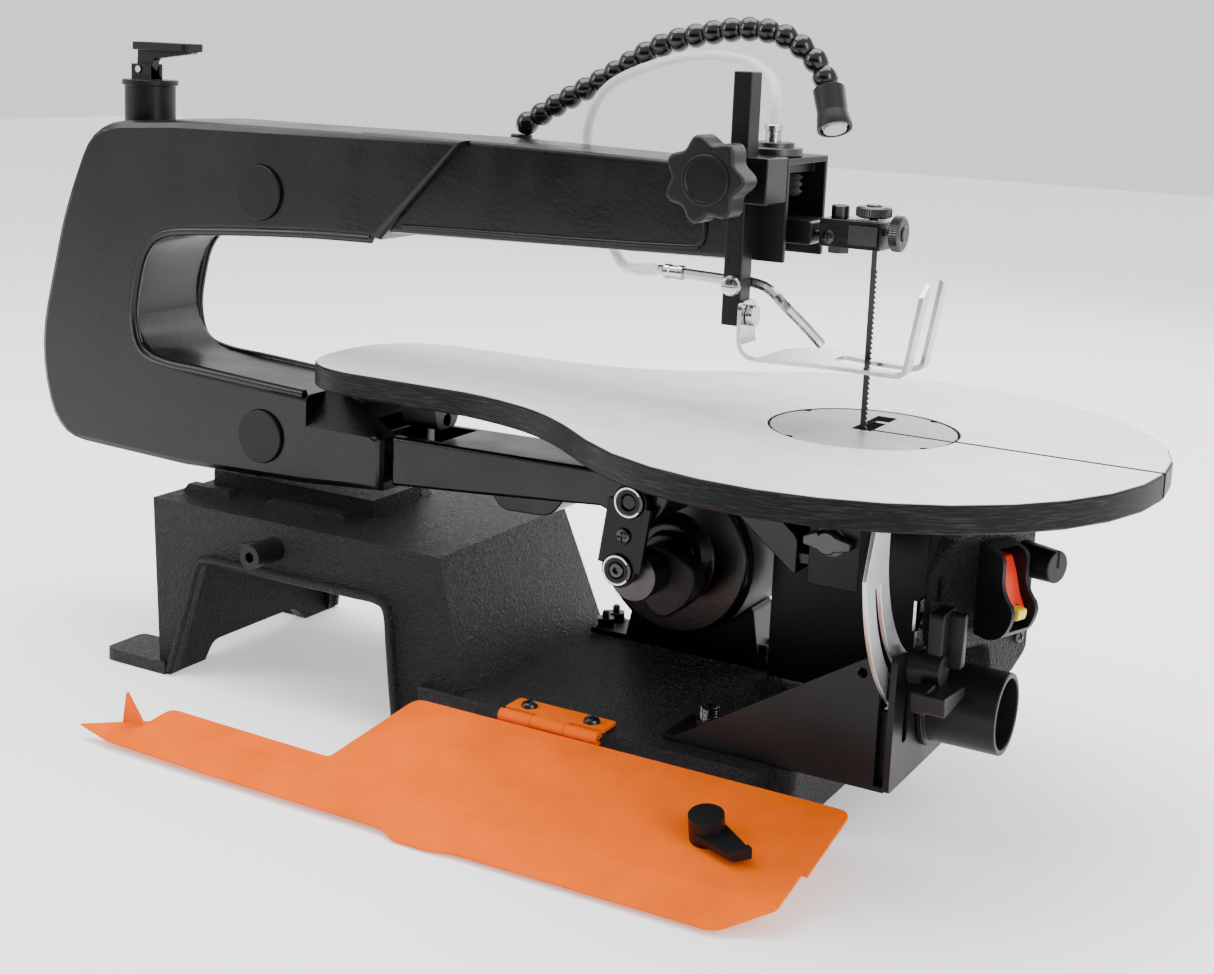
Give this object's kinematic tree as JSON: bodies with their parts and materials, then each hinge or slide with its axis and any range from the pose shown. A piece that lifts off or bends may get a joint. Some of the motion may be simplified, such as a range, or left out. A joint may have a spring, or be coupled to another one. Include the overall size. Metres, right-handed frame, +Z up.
{
  "type": "scroll saw",
  "caption": "Bench scroll saw: long C-shaped arm frame over a round-fronted tilting table, thin upright blade, bead-neck lamp, air blower, and an open orange side cover.",
  "frame": {"origin": "bottom centre of the bounding box, on the bench", "axes": "+Z up, +X towards the operator's end, where the blade is; the side cover is on the -Y side"},
  "size_m": [0.6486, 0.3146, 0.369],
  "materials": {
    "black_plastic": "satin moulded black",
    "cast_steel": "dark grey",
    "clear_vinyl": "clear tube",
    "crinkle_black": "coarse black texture paint",
    "dark_steel": "oiled dark steel",
    "gloss_black": "gloss black paint",
    "insert_grey": "satin grey",
    "lens": "clear lens",
    "neck_plastic": "glossy moulded black",
    "orange": "gloss orange paint",
    "red": "moulded red",
    "rubber": "moulded",
    "satin_black": "satin black",
    "table_steel": "brushed, with a black rim",
    "yellow": "moulded yellow",
    "zinc": "bright zinc plate"
  },
  "bodies": {
    "frame": {"base": "crinkle_black", "side_post": "satin_black", "c_frame": "gloss_black", "upper_pivot_cap": "satin_black", "lower_pivot_cap": "satin_black", "upper_pivot_pin": "dark_steel", "lower_pivot_pin": "dark_steel", "arm_nose": "satin_black", "rod_clamp": "gloss_black", "air_bellows": "rubber", "air_fitting": "dark_steel", "air_hose": "clear_vinyl", "lamp_base": "black_plastic", "trunnion_bracket": "satin_black", "dust_port": "black_plastic", "switch_box": "crinkle_black", "switch_guard": "black_plastic", "cord_gland": "black_plastic", "motor_can": "gloss_black", "motor_end_bell": "gloss_black", "motor_bracket": "dark_steel", "hinge_leaf": "orange", "hinge_pin": "zinc"},
    "lower_arm": {"lower_rocker_arm": "gloss_black", "link_bearing_upper": "zinc"},
    "upper_arm": {"upper_rocker_arm": "satin_black"},
    "rear_link": {"rear_link": "dark_steel"},
    "blade_set": {"blade": "dark_steel", "upper_blade_clamp": "dark_steel", "lower_blade_clamp": "satin_black"},
    "thumbscrew_top": {"thumbscrew_top": "dark_steel"},
    "thumbscrew_front": {"thumbscrew_front": "dark_steel"},
    "wing_nut": {"wing_nut": "dark_steel"},
    "drive_link": {"drive_link": "satin_black", "link_bearing_lower": "zinc"},
    "drive_crank": {"drive_crank": "dark_steel", "counterweight": "cast_steel"},
    "tension_collar": {"tension_collar": "satin_black", "tension_pin": "zinc"},
    "tension_lever": {"tension_lever": "satin_black"},
    "foot_rod": {"foot_rod": "satin_black", "blower_tube": "zinc", "foot_screw": "zinc"},
    "rod_knob": {"rod_knob": "black_plastic"},
    "drop_foot": {"drop_foot": "zinc"},
    "lamp_neck_lower": {"lamp_neck_lower": "neck_plastic"},
    "lamp_neck_upper": {"lamp_neck_upper": "neck_plastic"},
    "lamp_head": {"lamp_head": "black_plastic", "lamp_lens": "lens"},
    "table": {"table": "table_steel", "table_insert": "insert_grey", "bevel_scale": "zinc", "rear_trunnion": "satin_black"},
    "lock_lever": {"lock_lever": "black_plastic"},
    "switch_paddle": {"switch_paddle": "red"},
    "safety_key": {"safety_key": "yellow"},
    "speed_knob": {"speed_knob": "black_plastic"},
    "side_cover": {"side_cover": "orange", "cover_leaf": "orange"},
    "cover_latch": {"cover_latch": "black_plastic"}
  },
  "joints": [
    {"name": "lower_arm_rock", "type": "hinge", "parent": "frame", "child": "lower_arm", "pos_m": [-0.15557, 0.01752, 0.131], "axis": [0, -1, 0], "range_deg": [-1, 1]},
    {"name": "upper_arm_rock", "type": "hinge", "parent": "frame", "child": "upper_arm", "pos_m": [-0.15757, 0.01752, 0.266], "axis": [0, -1, 0], "range_deg": [-1.05, 1.05]},
    {"name": "blade_stroke", "type": "slide", "parent": "frame", "child": "blade_set", "axis": [0, 0, 1], "range_m": [-0.0063, 0.0063]},
    {"name": "rear_link_stroke", "type": "slide", "parent": "frame", "child": "rear_link", "axis": [0, 0, 1], "range_m": [-0.0025, 0.0025]},
    {"name": "drive_link_swing", "type": "hinge", "parent": "lower_arm", "child": "drive_link", "pos_m": [0.07693, 0.01752, 0.132], "axis": [0, 1, 0], "range_deg": [-6, 6]},
    {"name": "drive_crank_spin", "type": "hinge", "parent": "frame", "child": "drive_crank", "pos_m": [0.07643, 0.01752, 0.092], "axis": [0, 1, 0], "continuous": true},
    {"name": "thumbscrew_top_turn", "type": "hinge", "parent": "blade_set", "child": "thumbscrew_top", "pos_m": [0.18243, 0.01752, 0.2816], "axis": [0, 0, 1], "continuous": true},
    {"name": "thumbscrew_front_turn", "type": "hinge", "parent": "blade_set", "child": "thumbscrew_front", "pos_m": [0.19463, 0.01752, 0.273], "axis": [1, 0, 0], "continuous": true},
    {"name": "wing_nut_turn", "type": "hinge", "parent": "blade_set", "child": "wing_nut", "pos_m": [0.17543, 0.01752, 0.125], "axis": [0, 1, 0], "continuous": true},
    {"name": "tension_collar_turn", "type": "hinge", "parent": "frame", "child": "tension_collar", "pos_m": [-0.26357, 0.01752, 0.3], "axis": [0, 0, 1], "continuous": true},
    {"name": "tension_lever_lift", "type": "hinge", "parent": "tension_collar", "child": "tension_lever", "pos_m": [-0.26657, 0.01752, 0.327], "axis": [0, -1, 0], "range_deg": [0, 90]},
    {"name": "foot_rod_slide", "type": "slide", "parent": "frame", "child": "foot_rod", "axis": [0, 0, 1], "range_m": [-0.015, 0.007], "deforming": ["air_hose"]},
    {"name": "rod_knob_turn", "type": "hinge", "parent": "frame", "child": "rod_knob", "pos_m": [0.13143, -0.04248, 0.297], "axis": [0, 1, 0], "continuous": true},
    {"name": "drop_foot_tilt", "type": "hinge", "parent": "foot_rod", "child": "drop_foot", "pos_m": [0.13443, -0.01848, 0.233], "axis": [1, 0, 0], "range_deg": [-8, 8]},
    {"name": "lamp_swing", "type": "hinge", "parent": "frame", "child": "lamp_neck_lower", "pos_m": [-0.03457, 0.05352, 0.305], "axis": [0, 0, 1], "range_deg": [0, 12]},
    {"name": "lamp_neck_bend", "type": "hinge", "parent": "lamp_neck_lower", "child": "lamp_neck_upper", "pos_m": [0.05443, 0.05352, 0.3565], "axis": [0, 0, 1], "range_deg": [0, 10]},
    {"name": "lamp_head_tilt", "type": "hinge", "parent": "lamp_neck_upper", "child": "lamp_head", "pos_m": [0.14143, 0.05352, 0.337], "axis": [0, 1, 0], "range_deg": [-10, 10]},
    {"name": "table_tilt", "type": "hinge", "parent": "frame", "child": "table", "pos_m": [0.18443, 0.01752, 0.15], "axis": [1, 0, 0], "range_deg": [0, 45]},
    {"name": "lock_lever_turn", "type": "hinge", "parent": "frame", "child": "lock_lever", "pos_m": [0.23943, -0.02748, 0.086], "axis": [1, 0, 0], "range_deg": [-10, 25]},
    {"name": "switch_rock", "type": "hinge", "parent": "frame", "child": "switch_paddle", "pos_m": [0.2476, 0.02355, 0.114], "axis": [0.342, 0.9397, 0], "range_deg": [-4, 4]},
    {"name": "safety_key_pull", "type": "slide", "parent": "switch_paddle", "child": "safety_key", "axis": [0.9397, -0.342, 0], "range_m": [0, 0.02]},
    {"name": "speed_knob_turn", "type": "hinge", "parent": "frame", "child": "speed_knob", "pos_m": [0.257, 0.04354, 0.124], "axis": [0.9397, -0.342, 0], "range_deg": [0, 300]},
    {"name": "cover_swing", "type": "hinge", "parent": "frame", "child": "side_cover", "pos_m": [0.06443, -0.06148, 0.029], "axis": [1, 0, 0], "range_deg": [-100, 0]},
    {"name": "cover_latch_turn", "type": "hinge", "parent": "side_cover", "child": "cover_latch", "pos_m": [0.17343, -0.10843, 0.01902], "axis": [0, -0.2079, 0.9781], "range_deg": [-90, 0]}
  ],
  "couplings": [
    {"joint": "upper_arm_rock", "follows": "lower_arm_rock", "ratio": 1},
    {"joint": "blade_stroke", "follows": "lower_arm_rock", "m_per_rad": 0.34},
    {"joint": "rear_link_stroke", "follows": "lower_arm_rock", "m_per_rad": -0.118}
  ]
}
